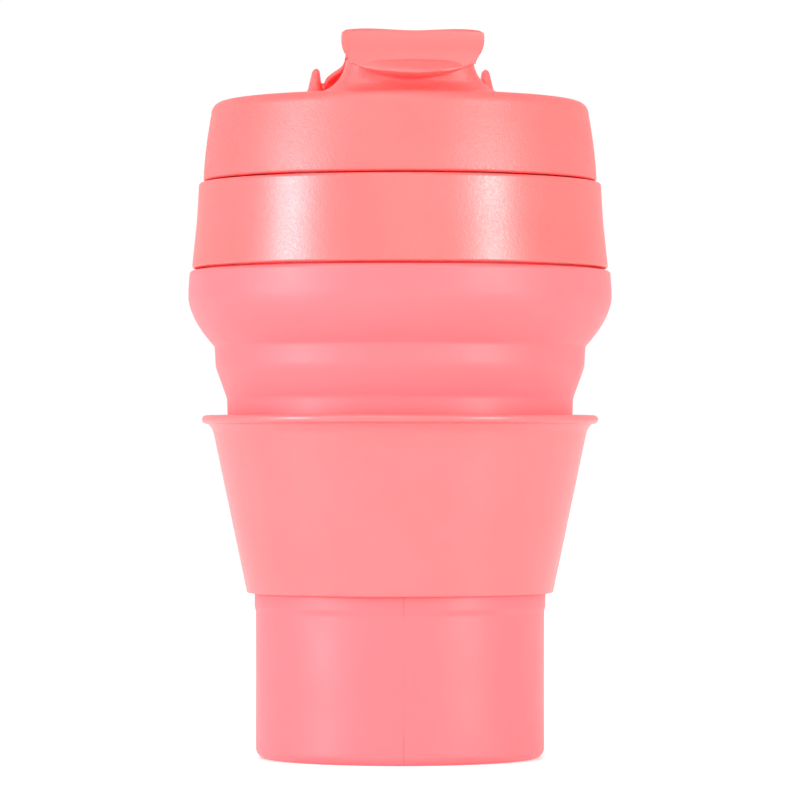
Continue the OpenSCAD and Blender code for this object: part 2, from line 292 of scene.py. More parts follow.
class Shader:
    """A small helper that adds nodes to a new material and links them."""

    def __init__(self, name):
        self.material = bpy.data.materials.new(name)
        self.material.use_nodes = True
        self.tree = self.material.node_tree
        self.principled = self.tree.nodes["Principled BSDF"]
        self.coords = self.tree.nodes.new("ShaderNodeTexCoord").outputs["Object"]

    def node(self, kind, inputs, **settings):
        """Adds a node. An input is a value, or an output to link from."""
        node = self.tree.nodes.new(kind)
        for key, value in settings.items():
            setattr(node, key, value)
        for key, value in inputs.items():
            if isinstance(value, bpy.types.NodeSocket):
                self.tree.links.new(value, node.inputs[key])
            else:
                node.inputs[key].default_value = value
        return node

    def noise(self, scale, detail=3.0, roughness=0.5):
        """A noise from 0 to 1, with its scale in features per metre."""
        inputs = {"Vector": self.coords, "Scale": scale, "Detail": detail, "Roughness": roughness}
        return self.node("ShaderNodeTexNoise", inputs).outputs["Fac"]

    def spread(self, value, low, high, start=0.3, end=0.7):
        """Maps a value from start..end to low..high."""
        inputs = {"Value": value, "From Min": start, "From Max": end, "To Min": low, "To Max": high}
        return self.node("ShaderNodeMapRange", inputs).outputs["Result"]

    def math(self, operation, *values):
        """A Math node of one or two values."""
        return self.node("ShaderNodeMath", dict(enumerate(values)), operation=operation).outputs["Value"]

    def mix_colours(self, factor, a, b):
        """Mixes two colours by a factor."""
        node = self.node("ShaderNodeMix", {"Factor": factor}, data_type="RGBA")
        for socket, value in ((node.inputs[6], a), (node.inputs[7], b)):
            socket.default_value = (*value, 1)
        return node.outputs[2]

    def bump(self, height, distance, normal=None, strength=1.0):
        """A bump of the given depth in metres."""
        inputs = {"Height": height, "Distance": distance, "Strength": strength}
        if normal is not None:
            inputs["Normal"] = normal
        return self.node("ShaderNodeBump", inputs).outputs["Normal"]

    def seam(self, tone, azimuth, colour):
        """Tints a line on the plane through the cup's axis at an azimuth, as strongly as SEAM_MARKS says."""
        across = (math.sin(azimuth), -math.cos(azimuth), 0)
        inputs = {0: self.coords, 1: across}
        offset = self.node("ShaderNodeVectorMath", inputs, operation="DOT_PRODUCT").outputs["Value"]
        line = self.spread(self.math("ABSOLUTE", offset), 0.5, 0, 0.00004, 0.00022)
        height = self.node("ShaderNodeSeparateXYZ", {"Vector": self.coords}).outputs["Z"]
        ramp = self.node("ShaderNodeValToRGB", {"Fac": self.spread(height, 0, 1, 0, 0.1)})
        stops = ramp.color_ramp.elements
        heights = sorted(SEAM_MARKS)
        stops[0].position = heights[0]
        stops[1].position = heights[-1]
        for position in heights[1:-1]:
            stops.new(position)
        for stop in stops:
            grey = SEAM_MARKS[round(stop.position, 3)]
            stop.color = (grey, grey, grey, 1)
        factor = self.math("MULTIPLY", line, ramp.outputs["Color"])
        node = self.node("ShaderNodeMix", {"Factor": factor}, data_type="RGBA")
        self.tree.links.new(tone, node.inputs[6])
        node.inputs[7].default_value = (*colour, 1)
        return node.outputs[2]

    def set(self, **values):
        """Sets or links sockets of the Principled shader, with _ for a space."""
        for key, value in values.items():
            socket = self.principled.inputs[key.replace("_", " ")]
            if isinstance(value, bpy.types.NodeSocket):
                self.tree.links.new(value, socket)
            else:
                socket.default_value = value


CORAL = (0.96, 0.101, 0.095)
CORAL_DEEP = (0.95, 0.093, 0.087)
SATIN_CORAL = (0.96, 0.122, 0.126)
SATIN_CORAL_DEEP = (0.95, 0.113, 0.116)
SILICONE = (0.96, 0.118, 0.131)
SILICONE_DEEP = (0.95, 0.11, 0.121)
SEAM_TONE = (0.8, 0.04, 0.04)


def hard_plastic(name, low, high, gloss, relief, tones=(CORAL, CORAL_DEEP)):
    """Moulded polypropylene with a fine spark-eroded grain.

    low and high bound its roughness, gloss is its specular level and relief the grain's depth in metres.
    """
    s = Shader(name)
    cloud = s.spread(s.noise(55, 2.0), 0, 1)
    grain = s.noise(3000, 2.0, 0.6)
    pits = s.noise(1500, 2.0, 0.5)
    s.set(
        Base_Color=s.mix_colours(cloud, *tones),
        Roughness=s.spread(grain, low, high, 0.36, 0.64),
        Normal=s.bump(grain, relief, s.bump(pits, relief)),
        Specular_IOR_Level=gloss,
        Subsurface_Weight=0.2,
        Subsurface_Radius=(1.0, 0.12, 0.09),
        Subsurface_Scale=0.0015,
    )
    return s.material


def soft_silicone():
    """Smooth moulded silicone: matte, a little translucent, with faint waves and a darker parting line."""
    s = Shader("silicone_body")
    cloud = s.spread(s.noise(38, 3.0), 0, 1)
    waves = s.noise(90, 2.0)
    skin = s.noise(2600, 2.0)
    tone = s.mix_colours(cloud, SILICONE, SILICONE_DEEP)
    s.set(
        Base_Color=s.seam(tone, BODY_SEAM, SEAM_TONE),
        Roughness=s.spread(waves, 0.44, 0.54),
        Normal=s.bump(skin, 0.000012, s.bump(waves, 0.00015)),
        Specular_IOR_Level=0.42,
        Sheen_Weight=0.1,
        Sheen_Roughness=0.4,
        Subsurface_Weight=0.2,
        Subsurface_Radius=(1.0, 0.14, 0.12),
        Subsurface_Scale=0.002,
    )
    return s.material


def seal_silicone():
    """Softer, paler silicone of the gasket and the stopper."""
    s = Shader("seal_silicone")
    cloud = s.spread(s.noise(60, 2.0), 0, 1)
    skin = s.noise(2400, 2.0)
    s.set(
        Base_Color=s.mix_colours(cloud, (0.93, 0.5, 0.47), (0.9, 0.46, 0.43)),
        Roughness=s.spread(cloud, 0.42, 0.52),
        Normal=s.bump(skin, 0.00001),
        Subsurface_Weight=0.2,
        Subsurface_Radius=(1.0, 0.5, 0.4),
        Subsurface_Scale=0.0015,
    )
    return s.material


COLLAR_PLASTIC = hard_plastic("hard_plastic_glossy", 0.3, 0.42, 0.65, 0.00003)
LID_PLASTIC = hard_plastic("hard_plastic_grained", 0.34, 0.52, 0.6, 0.00006)
FLAP_PLASTIC = hard_plastic("hard_plastic_fine", 0.36, 0.5, 0.6, 0.000025)
SATIN_TONES = (SATIN_CORAL, SATIN_CORAL_DEEP)
SATIN_PLASTIC = hard_plastic("hard_plastic_satin", 0.3, 0.4, 0.55, 0.000012, SATIN_TONES)
BODY_SILICONE = soft_silicone()
SEAL = seal_silicone()

# ---------------------------------------------------------------- silicone body

BODY_SEAMS = (BODY_SEAM, BODY_SEAM + math.pi)
FOOT_CORNER = 2.2
STRAIGHT = 1.0
TIER_FLARE = 0.2
BAND_TOP = 109.3
BELL_POWER = 1.75


def bell(f):
    """How far the top web has widened at a fraction of its height."""
    return 1 - (1 - f) ** BELL_POWER


def straighten(path, z):
    """Puts a very short straight piece at a height, so that the nodes that meet there share one direction."""
    half = 0.05
    for i in range(1, len(path) - 2):
        (r0, z0), (r1, z1) = path[i], path[i + 1]
        if z0 <= z <= z1 and z1 > z0:
            f = (z - z0) / (z1 - z0)
            before, after = path[i - 1], path[i + 2]
            slope_0 = (r1 - before[0]) / (z1 - before[1])
            slope_1 = (after[0] - r0) / (after[1] - z0)
            run = z1 - z0
            h10, h11 = f * (1 - f) ** 2, -f * f * (1 - f)
            r = mix(r0, r1, f * f * (3 - 2 * f)) + run * (h10 * slope_0 + h11 * slope_1)
            slope = mix(slope_0, slope_1, f)
            keep_low = [p for p in path[:i + 1] if p[1] < z - 2.5 * half]
            keep_high = [p for p in path[i + 1:] if p[1] > z + 2.5 * half]
            return keep_low + [(r + d * slope, z + d) for d in (-half, 0, half)] + keep_high
    return path


def outer_path():
    """The body's outer outline from above the foot's corner up to the top band."""
    (r1, low1, top1), (r2, low2, top2), (r3, low3, top3) = TIERS
    path = filleted(
        [
            (BASE_R, FOOT_CORNER, 0),
            (BASE_R, 32.7, 2.0),
            (GRIP_R, 34.0, 2.0),
            (GRIP_R, BASE_TOP + STRAIGHT, 2.5),
            (r1 - TIER_FLARE, low1 - STRAIGHT, 2.5),
            (r1, top1 + STRAIGHT, 2.5),
            (r2 - TIER_FLARE, low2 - STRAIGHT, 2.5),
            (r2, top2 + 0.6, 2.6),
            (r3 - TIER_FLARE - 0.05, low3 - 0.4, 5.0),
            (r3, top3 + 0.3, 1.8),
            (r3 + 0.6, top3 + 0.95, 0),
        ],
        closed=False,
    )
    steps = 22
    start_r, start_z = path[-1]
    end_z = BAND_LOW + 1.5
    for i in range(1, steps + 1):
        f = i / steps
        path.append((start_r + (BAND_R - start_r) * bell(f), mix(start_z, end_z, f)))
    path += filleted(
        [
            (BAND_R, end_z + 0.2, 0),
            (BAND_R, 105.0, 12),
            (BAND_R - 0.3, BAND_TOP, 0.9),
            (COLLAR_BORE, BAND_TOP, 0),
        ],
        closed=False,
    )
    return path


FOOT_WALL = 2.0
TIER_WALL = 1.4
WEB_WALL = 1.0
BAND_WALL = 2.4


def wall_at(z):
    """The body's wall thickness at a height: thick on the foot and the band, thin on the webs."""
    if z < BASE_TOP:
        return mix(FOOT_WALL, WEB_WALL, smooth_step((z - BASE_TOP + 3) / 3))
    for _, low, top in TIERS:
        if low <= z <= top:
            edge = min(z - low, top - z)
            return mix(WEB_WALL, TIER_WALL, smooth_step(edge / 1.2))
    if z > BAND_LOW:
        return mix(WEB_WALL, BAND_WALL, smooth_step((z - BAND_LOW) / 3.5))
    return WEB_WALL


def inner_path(outer, low, high):
    """The inner outline, one wall away from the outer one."""
    path = []
    for i in range(1, len(outer) - 1):
        (r0, z0), (r, z), (r2, z2) = outer[i - 1], outer[i], outer[i + 1]
        run = math.hypot(r2 - r0, z2 - z0)
        wall = wall_at(z)
        point = (r - wall * (z2 - z0) / run, z + wall * (r2 - r0) / run)
        if low < point[1] < high and (not path or point[1] > path[-1][1] + 0.02):
            path.append(point)
    return path


def stretch(path, low, high):
    """The part of a rising outline between two heights."""
    out = []
    for (r0, z0), (r1, z1) in zip(path, path[1:]):
        if z1 <= low or z0 >= high or z1 <= z0:
            continue
        if not out:
            f = max(0, (low - z0) / (z1 - z0))
            out.append((mix(r0, r1, f), max(z0, low)))
        f = min(1, (high - z0) / (z1 - z0))
        out.append((mix(r0, r1, f), min(z1, high)))
    return out


NODE_EDGES = [BASE_TOP, *(z for _, low, top in TIERS for z in (low, top)), BAND_LOW]
OUTER = outer_path()
for height in NODE_EDGES:
    OUTER = straighten(OUTER, height)
INNER = inner_path(OUTER, FLOOR, RIM_SHELF)


def body_ridge(r, z):
    """The mould's parting line stands out most near the foot and under the sleeve."""
    near_foot = max(0, 1 - z / 9)
    near_sleeve = max(0, 1 - abs(z - SLEEVE_LOW) / 5)
    return 0.004 + 0.1 * near_foot + 0.05 * near_sleeve


def outward_ridge(inner_limit):
    """The parting line shows on the outside only."""
    def ridge(r, z):
        return body_ridge(r, z) if r > inner_limit(z) else 0
    return ridge


def radius_at(path, z):
    """The outline's radius at a height."""
    for (r0, z0), (r1, z1) in zip(path, path[1:]):
        if z0 <= z <= z1 and z1 > z0:
            return mix(r0, r1, (z - z0) / (z1 - z0))
    return path[0][0] if z < path[0][1] else path[-1][0]


def silicone_ring(name, low, high):
    """A tier or a web: the body's wall between two heights."""
    outer = stretch(OUTER, low, high)
    inner = stretch(INNER, low, high)
    ridge = outward_ridge(lambda z: radius_at(OUTER, z) - 0.3)
    return lathe(name, outer + inner[::-1], BODY_SILICONE, seams=BODY_SEAMS, ridge=ridge)


def make_foot():
    """The straight foot with its floor, a ring to stand on and a shallow hollow under it."""
    under = filleted([(0, 0.6, 0), (27, 0.6, 0.5), (27.6, 0, 0.4), (29.2, 0, 0)], closed=False)
    corner = arc(BASE_R - FOOT_CORNER, FOOT_CORNER, FOOT_CORNER, -90, 0, 12)
    outer = stretch(OUTER, FOOT_CORNER + 0.15, BASE_TOP)
    inner = stretch(INNER, 9, BASE_TOP)[::-1]
    inner_r = inner[-1][0]
    floor = arc(inner_r - 3, FLOOR + 3, 3, 0, -90, 10) + [(inner_r - 3.4, FLOOR), (0, FLOOR)]
    profile = under + corner + outer + inner + floor
    ridge = outward_ridge(lambda z: radius_at(OUTER, max(z, FOOT_CORNER)) - FOOT_CORNER)
    return lathe("base_cup_skin", profile, BODY_SILICONE, seams=BODY_SEAMS, ridge=ridge, closed=False)


def make_rim_band():
    """The widest band, and the rim above it that the collar and the neck ring clamp."""
    cut = BAND_TOP - 0.01
    outer = stretch(OUTER, BAND_LOW, cut)
    shelf = [p for p in OUTER if p[1] >= cut]
    inner = stretch(INNER, BAND_LOW, RIM_SHELF - 1.4)[::-1]
    inner_r = inner[0][0]
    neck = filleted(
        [
            (COLLAR_BORE, RIM_NECK_TOP, 0),
            (RIM_NECK_R, RIM_NECK_TOP, 0),
            (RIM_NECK_R, RIM_SHELF, 1.0),
            (inner_r, RIM_SHELF, 1.2),
            (inner_r, RIM_SHELF - 1.2, 0),
        ],
        closed=False,
    )
    ridge = outward_ridge(lambda z: radius_at(OUTER, min(z, BAND_TOP - 0.1)) - 1)
    profile = outer + shelf + neck + inner
    return lathe("rim_band_skin", profile, BODY_SILICONE, seams=BODY_SEAMS, ridge=ridge)


def make_body():
    """The silicone body: rigid tiers ride on their bodies, and each web sits between two of them without a
    body of its own.
    """
    steps = ["body", "first_step", "second_step", "third_step", "rim"]
    foot = make_foot()
    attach(foot, "body")
    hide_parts("base_cup")
    band = make_rim_band()
    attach(band, "rim")
    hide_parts("rim_band")
    for i, (_, low, top) in enumerate(TIERS):
        tier = silicone_ring(f"tier_{i + 1}_skin", low, top)
        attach(tier, steps[i + 1])
        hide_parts(f"tier_{i + 1}")
    for i in range(4):
        low, high = NODE_EDGES[2 * i], NODE_EDGES[2 * i + 1]
        web = silicone_ring(f"fold_web_{i + 1}_skin", low, high)
        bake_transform(web)
        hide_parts(f"fold_web_{i + 1}")


make_body()

# ---------------------------------------------------------------- collar and sleeve


def make_collar():
    """The hard collar, which narrows upwards to a round shoulder."""
    profile = filleted([
        (COLLAR_BORE, COLLAR_LOW, 0.2),
        (COLLAR_R, COLLAR_LOW, 0.6),
        (COLLAR_R - 1.15, (COLLAR_LOW + COLLAR_TOP) / 2 + 1.5, 60),
        (COLLAR_R - 1.6, COLLAR_TOP, 1.2),
        (COLLAR_BORE, COLLAR_TOP, 0.2),
    ])
    collar = lathe("collar_skin", profile, COLLAR_PLASTIC)
    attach(collar, "rim")
    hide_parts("collar")


def make_sleeve():
    """The grip sleeve: a straight cone with a lip that flares out into a rolled rim."""
    wall = 1.2
    angle = 11.8
    lip_r = 5.0
    lip_end = 44
    low_r = 34.4
    cone_top = 72.4
    rim_r = 0.95
    slope = math.tan(math.radians(angle))
    curve_r = low_r + (cone_top - SLEEVE_LOW) * slope + lip_r * math.cos(math.radians(angle))
    curve_z = cone_top - lip_r * math.sin(math.radians(angle))
    low_in = low_r - wall / math.cos(math.radians(angle))
    outer = arc(curve_r, curve_z, lip_r, 180 - angle, 180 - lip_end, 12)
    inner = arc(curve_r, curve_z, lip_r + wall, 179 - lip_end - 3, 180 - angle, 12)
    tip = arc(SLEEVE_R - rim_r, SLEEVE_TOP - rim_r, rim_r, -92, 165, 22)
    grip_in = GRIP_R + 0.15
    foot = filleted(
        [
            (low_in + 5 * slope, SLEEVE_LOW + 5, 0),
            (grip_in, SLEEVE_LOW + 2.5, 1.5),
            (grip_in, SLEEVE_LOW, 0.35),
            (low_r, SLEEVE_LOW, 0.4),
            (low_r + 5 * slope, SLEEVE_LOW + 5, 0),
        ],
        closed=False,
    )
    sleeve = lathe("sleeve_skin", foot + outer + tip + inner, SATIN_PLASTIC)
    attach(sleeve, "grip_sleeve")
    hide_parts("sleeve")


make_collar()
make_sleeve()

# ---------------------------------------------------------------- lid with mouthpiece

SPOUT_Y = (-34.2, -18.0)
SPOUT_MID = sum(SPOUT_Y) / 2
SPOUT_HALF_W = 13.95
SPOUT_HALF_D = (SPOUT_Y[1] - SPOUT_Y[0]) / 2
SPOUT_POWER = 3.2
SLOT_HALF_L = 7
SLOT_HALF_W = 3
SIDE_LEAN = 0.0227
SIDE_LEAN_POWER = 1.6

# Reach and height of the mouthpiece's concave foot at its two ends, at its rear and at its front
END_FLARE = (8.0, 8.0)
REAR_FLARE = (3.6, 3.6)
FRONT_FLARE = (5.2, 2.7)
LID_COUNT = 360


def super_round(half_w, half_d, power, a):
    """A point of a rounded rectangle about the mouthpiece's centre, at angle a."""
    c, s = math.cos(a), math.sin(a)
    reach = (abs(c / half_w) ** power + abs(s / half_d) ** power) ** (-1 / power)
    return reach * c, reach * s


def flare(reach, tall, height):
    """How far a concave foot of a given reach and height stands out at a height above the lid's top."""
    rise = min(max(tall - height, 0), tall) / tall
    return reach * (1 - math.sqrt(1 - rise ** 2))


def spout_ring(grow, z, power=SPOUT_POWER):
    """A ring of the mouthpiece's outline, grown outwards, with the concave foot that widens it lower down."""
    ring = []
    height = z - LID_TOP
    half_w = SPOUT_HALF_W + grow + flare(*END_FLARE, height)
    rear = SPOUT_HALF_D + grow + flare(*REAR_FLARE, height)
    front = SPOUT_HALF_D + grow + flare(*FRONT_FLARE, height)
    for i in range(LID_COUNT):
        half_d = rear if i < LID_COUNT / 2 else front
        x, y = super_round(half_w, half_d, power, TURN * i / LID_COUNT)
        ring.append((x, y + SPOUT_MID, z))
    return ring


def inner_ring(half_w, half_d, z, power):
    """A ring of the mouthpiece's hollow or of the drinking slot."""
    ring = []
    for i in range(LID_COUNT):
        x, y = super_round(half_w, half_d, power, TURN * i / LID_COUNT)
        ring.append((x, y + SPOUT_MID, z))
    return ring


def circle_ring(radius, z):
    """A ring of the lid's round outline, each point straight out from the mouthpiece's centre."""
    ring = []
    for i in range(LID_COUNT):
        a = TURN * i / LID_COUNT
        c, s = math.cos(a), math.sin(a)
        reach = -SPOUT_MID * s + math.sqrt(radius ** 2 - (SPOUT_MID * c) ** 2)
        ring.append((reach * c, SPOUT_MID + reach * s, z))
    return ring


def slot_ring(grow, z):
    """A ring of the drinking slot, grown outwards."""
    return inner_ring(SLOT_HALF_L + grow, SLOT_HALF_W + grow, z, 3.0)


def between(a, b, f):
    """A ring part of the way from one ring to another."""
    return [tuple(mix(p, q, f) for p, q in zip(u, v)) for u, v in zip(a, b)]


def side_radius(z):
    """The lid's side, which closes in slowly towards the top."""
    return LID_R - SIDE_LEAN * max(0, z - LID_LOW) ** SIDE_LEAN_POWER


def make_lid():
    """The lid's shell and mouthpiece as one closed surface, from the slot out to the rim and back inside."""
    edge = 0.7
    shoulder = 2.7
    lower_edge = 0.6
    spout_wall = 1.8
    bore = 41.8
    under = LID_TOP - 2
    rings = [slot_ring(grow, SPOUT_TOP - drop) for grow, drop in ((0, 0.5), (0.1, 0.2), (0.4, 0), (0.8, 0))]
    rings.append(spout_ring(-edge - 0.25, SPOUT_TOP))
    for x, z in arc(-edge, SPOUT_TOP - edge, edge, 90, 0, 6):
        rings.append(spout_ring(x, z))
    steps = 24
    for i in range(1, steps + 1):
        f = (1 - i / steps) ** 2
        z = mix(LID_TOP, SPOUT_TOP - edge, f)
        rings.append(spout_ring(0, z, mix(2.15, SPOUT_POWER, min(1, math.sqrt(f) * 1.6))))
    shoulder_z = LID_TOP - shoulder
    shoulder_r = side_radius(shoulder_z)
    flat = circle_ring(shoulder_r - shoulder - 0.02, LID_TOP)
    foot = rings[-1]
    for f in (0.3, 0.7):
        rings.append([(p[0], p[1], LID_TOP) for p in between(foot, flat, f)])
    for r, z in arc(shoulder_r - shoulder, shoulder_z, shoulder, 90, 6, 10):
        rings.append(circle_ring(r, z))
    for i in range(9):
        z = mix(shoulder_z - 0.3, LID_LOW + 0.75, i / 8)
        rings.append(circle_ring(side_radius(z), z))
    for r, z in arc(LID_R - lower_edge - 0.02, LID_LOW + lower_edge, lower_edge, 0, -90, 6):
        rings.append(circle_ring(r, z))
    inside = [
        (bore + 0.5, LID_LOW),
        (bore + 0.1, LID_LOW + 0.15),
        (bore, LID_LOW + 0.5),
        (bore, 141),
        (bore - 0.9, under - 0.4),
        (bore - 1.3, under),
    ]
    for r, z in inside:
        rings.append(circle_ring(r, z))
    roof = SPOUT_TOP - spout_wall
    hollow = [(0.1, under), (0, under + 0.2), (0, roof - 0.3), (0.4, roof)]
    for extra, z in hollow:
        wall = spout_wall + extra
        rings.append(inner_ring(SPOUT_HALF_W - wall, SPOUT_HALF_D - wall, z, SPOUT_POWER))
    rings += [slot_ring(0.3, roof), slot_ring(0, roof + 0.3)]
    lid = loft("lid_skin", rings, LID_PLASTIC)
    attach(lid, "lid")
    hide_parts("lid_shell", "lid_spout")


make_lid()


def make_ears():
    """Two ears that lean in towards their narrow tips and spread a little where they meet the lid."""
    count = 40
    steps = 30
    tip_r = 0.9
    foot_tall = 3.4
    foot_reach = 1.3
    for side, name in ((-1, "left"), (1, "right")):
        rings = []
        for i in range(steps + 1):
            rise = math.sin(i / steps * math.pi / 2)
            z = mix(LID_TOP - 0.4, EAR_TOP, rise)
            h = max(0, (z - LID_TOP) / (EAR_TOP - LID_TOP))
            spread = foot_reach * max(0, 1 - (z - LID_TOP) / foot_tall) ** 2
            inner_x = max(KNUCKLE_HALF + 0.35, mix(17.4, 18.35, h) - 0.5 * spread)
            outer_x = mix(21.5, 19.8, h) + 1.2 * spread
            half_y = mix(4.6, 1.9, h) + spread
            tip = math.sqrt(max(0, 1 - max(0, (z - EAR_TOP + tip_r) / tip_r) ** 2))
            half_x = (outer_x - inner_x) / 2
            mid_x = inner_x + half_x
            round_x = half_x * max(tip, 0.05)
            round_y = half_y * mix(0.4, 1, tip)
            ring = []
            for k in range(count):
                x, y = super_round(round_x, round_y, 2.8, TURN * k / count)
                ring.append((side * (mid_x + x), HINGE_Y + y, z))
            rings.append(ring)
        ear = loft(f"hinge_ear_{name}", rings, LID_PLASTIC, closed=False)
        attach(ear, "lid")
        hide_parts("hinge_ears")


make_ears()

# ---------------------------------------------------------------- flap

TAB_Y = -37.2
CURTAIN_IN = -34.6
CAP_UNDER = SPOUT_TOP + 0.52
CAP_WALL_HALF = 13.9
TAB_HALF = 15.65
CURTAIN_HALF = 13.5
LIP_HALF = 11.6
LIP_OUT = 2.5
LIP_BOTTOM = 150.0
SMILE_R = 30.5
TAB_CORNER = 0.95
TAB_DRAW = 2.15
TAB_BOW = 1.3
TAB_DIP = 0.4
CREST = 0.74

# Side view of the arm and cap, as Y and Z, from the knuckle forward
ROOF = [(-4.5, 152.2), (-8, 153.15), (-13, 154.75), (-18, 156.5), (-27, 158.95)]
UNDER = [(-4.6, 150.6), (-8, 152.0), (-12, 153.35), (-17.2, 155.35)]

# Half width of the arm and cap, as Y and half width, from the knuckle forward
PLAN = [
    (0, 17.2),
    (-4, 17.2),
    (-6.5, 16.75),
    (-9, 15.7),
    (-11.5, 14.4),
    (-14, 13.75),
    (-18, 13.6),
    (-27, 14.0),
    (-33, 14.35),
    (-40, 14.6),
]


def spline(a, b, c, d, t):
    """The value at t of a smooth curve that runs from b to c, with a before it and d after it."""
    square = 2 * a - 5 * b + 4 * c - d
    cube = 3 * b - a - 3 * c + d
    return 0.5 * (2 * b + (c - a) * t + square * t * t + cube * t ** 3)


def curve(points, steps):
    """A smooth curve through points, with even steps between each two."""
    out = []
    for i in range(len(points) - 1):
        p0, p1, p2 = points[max(i - 1, 0)], points[i], points[i + 1]
        p3 = points[min(i + 2, len(points) - 1)]
        for k in range(steps):
            out.append(tuple(spline(*row, k / steps) for row in zip(p0, p1, p2, p3)))
    out.append(points[-1])
    return out


PLAN_CURVE = curve(PLAN, 6)


def plan_half(y):
    """The cap's and arm's half width at a distance from the axis."""
    for (y0, w0), (y1, w1) in zip(PLAN_CURVE, PLAN_CURVE[1:]):
        if y1 <= y <= y0:
            return mix(w0, w1, (y0 - y) / (y0 - y1))
    return PLAN_CURVE[-1][1]


def tab_half(z):
    """The tab's half width at a height: a tight corner at the top, drawn in towards the lower end."""
    drop = FLAP_TOP - z
    if drop < TAB_CORNER:
        return TAB_HALF - TAB_CORNER + math.sqrt(max(0, TAB_CORNER ** 2 - (TAB_CORNER - drop) ** 2))
    return TAB_HALF - TAB_DRAW * smooth_step((drop - 2.2) / 6.4) ** 1.3


def spaced(points, count):
    """The same open outline with evenly spread points."""
    lengths = [0]
    for p, q in zip(points, points[1:]):
        lengths.append(lengths[-1] + math.hypot(q[0] - p[0], q[1] - p[1]))
    out = []
    k = 0
    for i in range(count):
        at = lengths[-1] * i / (count - 1)
        while k < len(points) - 2 and lengths[k + 1] < at:
            k += 1
        run = (lengths[k + 1] - lengths[k]) or 1
        f = min(max((at - lengths[k]) / run, 0), 1)
        out.append(tuple(mix(a, b, f) for a, b in zip(points[k], points[k + 1])))
    return out


def flap_section(s):
    """The flap's outline at s, from -1 to 1 across it.

    It comes as two lists of as many points (y, z, half width): the outer side and the inner side.
    """
    x = s * CURTAIN_HALF
    smile = SMILE_R - math.sqrt(SMILE_R ** 2 - x ** 2)
    low = LIP_BOTTOM + smile
    swell = max(0, 1 - (x / LIP_HALF) ** 2)
    out = LIP_OUT * swell ** 0.85
    bow = TAB_BOW * s * s
    dip = TAB_DIP * math.cos(math.pi / 2 * min(1, abs(s) / CREST)) ** 2
    top = FLAP_TOP - dip - 0.25 * max(0, (abs(s) - CREST) / (1 - CREST)) ** 2
    front = TAB_Y + bow
    outer, inner = [], []
    knuckle_steps = 10
    for k in range(knuckle_steps + 1):
        a = math.radians(118 * k / knuckle_steps)
        y, rise = HINGE_Y + KNUCKLE_R * math.cos(a), KNUCKLE_R * math.sin(a)
        outer.append((y, HINGE_Z + rise, KNUCKLE_HALF))
        inner.append((y, HINGE_Z - rise * (1 if a < 1.7 else 0.9), KNUCKLE_HALF))
    arm_steps = 14
    roof = curve([outer[-1][:2], *ROOF[:4]], 4)[1:]
    under = curve([(HINGE_Y - KNUCKLE_R + 0.05, HINGE_Z - 0.3), *UNDER], 4)[1:]
    for (y0, z0), (y1, z1) in zip(spaced(roof, arm_steps), spaced(under, arm_steps)):
        outer.append((y0, z0, plan_half(y0)))
        inner.append((y1, z1, plan_half(y1)))
    cap_steps = 26
    cap = curve([*ROOF[3:], (-33, top - 0.65), (-35.6 + bow, top - 0.05), (front + 0.95, top)], 6)
    cap += curve([
        (front + 0.5, top - 0.07),
        (front + 0.15, top - 0.3),
        (front, top - 0.7),
        (front + 0.08, top - 1.6),
        (front + 0.45, top - 3.0),
        (front + 0.85, top - 4.2),
        (front + 1.1, CAP_UNDER),
    ], 4)
    floor = [(UNDER[-1][0] - 0.25, CAP_UNDER), (CURTAIN_IN + bow * 0.4 + 0.25, CAP_UNDER)]
    for (y0, z0), (y1, z1) in zip(spaced(cap, cap_steps), spaced(floor, cap_steps)):
        forward = smooth_step((-y0 + bow - 33.5) / 2.4)
        outer.append((y0, z0, mix(plan_half(y0), tab_half(z0 + FLAP_TOP - top), forward)))
        inner.append((y1, z1, plan_half(y1)))
    drop_steps = 22
    face = front + 1.1
    lip_top = low + 0.35 + 3.55 * swell ** 0.7
    lip_mid = low + 0.25 + 0.85 * swell
    apron = curve([
        (face, CAP_UNDER - 0.15),
        (face + 0.1, mix(CAP_UNDER, lip_top, 0.6)),
        (face + 0.15 - 0.06 * out, lip_top + 0.12),
        (face - 0.2 * out, lip_top - 0.12),
        (face - 0.46 * out, mix(lip_top, lip_mid, 0.33)),
        (face - 0.8 * out, mix(lip_top, lip_mid, 0.66)),
        (face - 0.98 * out, mix(lip_top, lip_mid, 0.9)),
        (face - out, lip_mid),
        (face - 0.86 * out, lip_mid - 0.3 * (lip_mid - low)),
        (face - 0.5 * out + 0.08, lip_mid - 0.72 * (lip_mid - low)),
        (face - 0.12 * out + 0.3, low),
    ], 4)
    inside_y = CURTAIN_IN + bow * 0.4
    inside = [(inside_y, CAP_UNDER - 0.25), (inside_y, low + 0.15)]
    for (y0, z0), (y1, z1) in zip(spaced(apron, drop_steps), spaced(inside, drop_steps)):
        outer.append((y0, z0, tab_half(z0)))
        inner.append((y1, z1, min(tab_half(z1), CAP_WALL_HALF)))
    return outer, inner


def outline_normals(points):
    """Outward unit directions of a closed outline of (y, z, ...) points."""
    count = len(points)
    area = sum(p[0] * q[1] - q[0] * p[1] for p, q in zip(points, points[1:] + points[:1]))
    way = 1 if area > 0 else -1
    out = []
    for i in range(count):
        before, after = points[i - 1], points[(i + 1) % count]
        dy, dz = after[0] - before[0], after[1] - before[1]
        run = math.hypot(dy, dz) or 1
        out.append((way * dz / run, -way * dy / run))
    return out


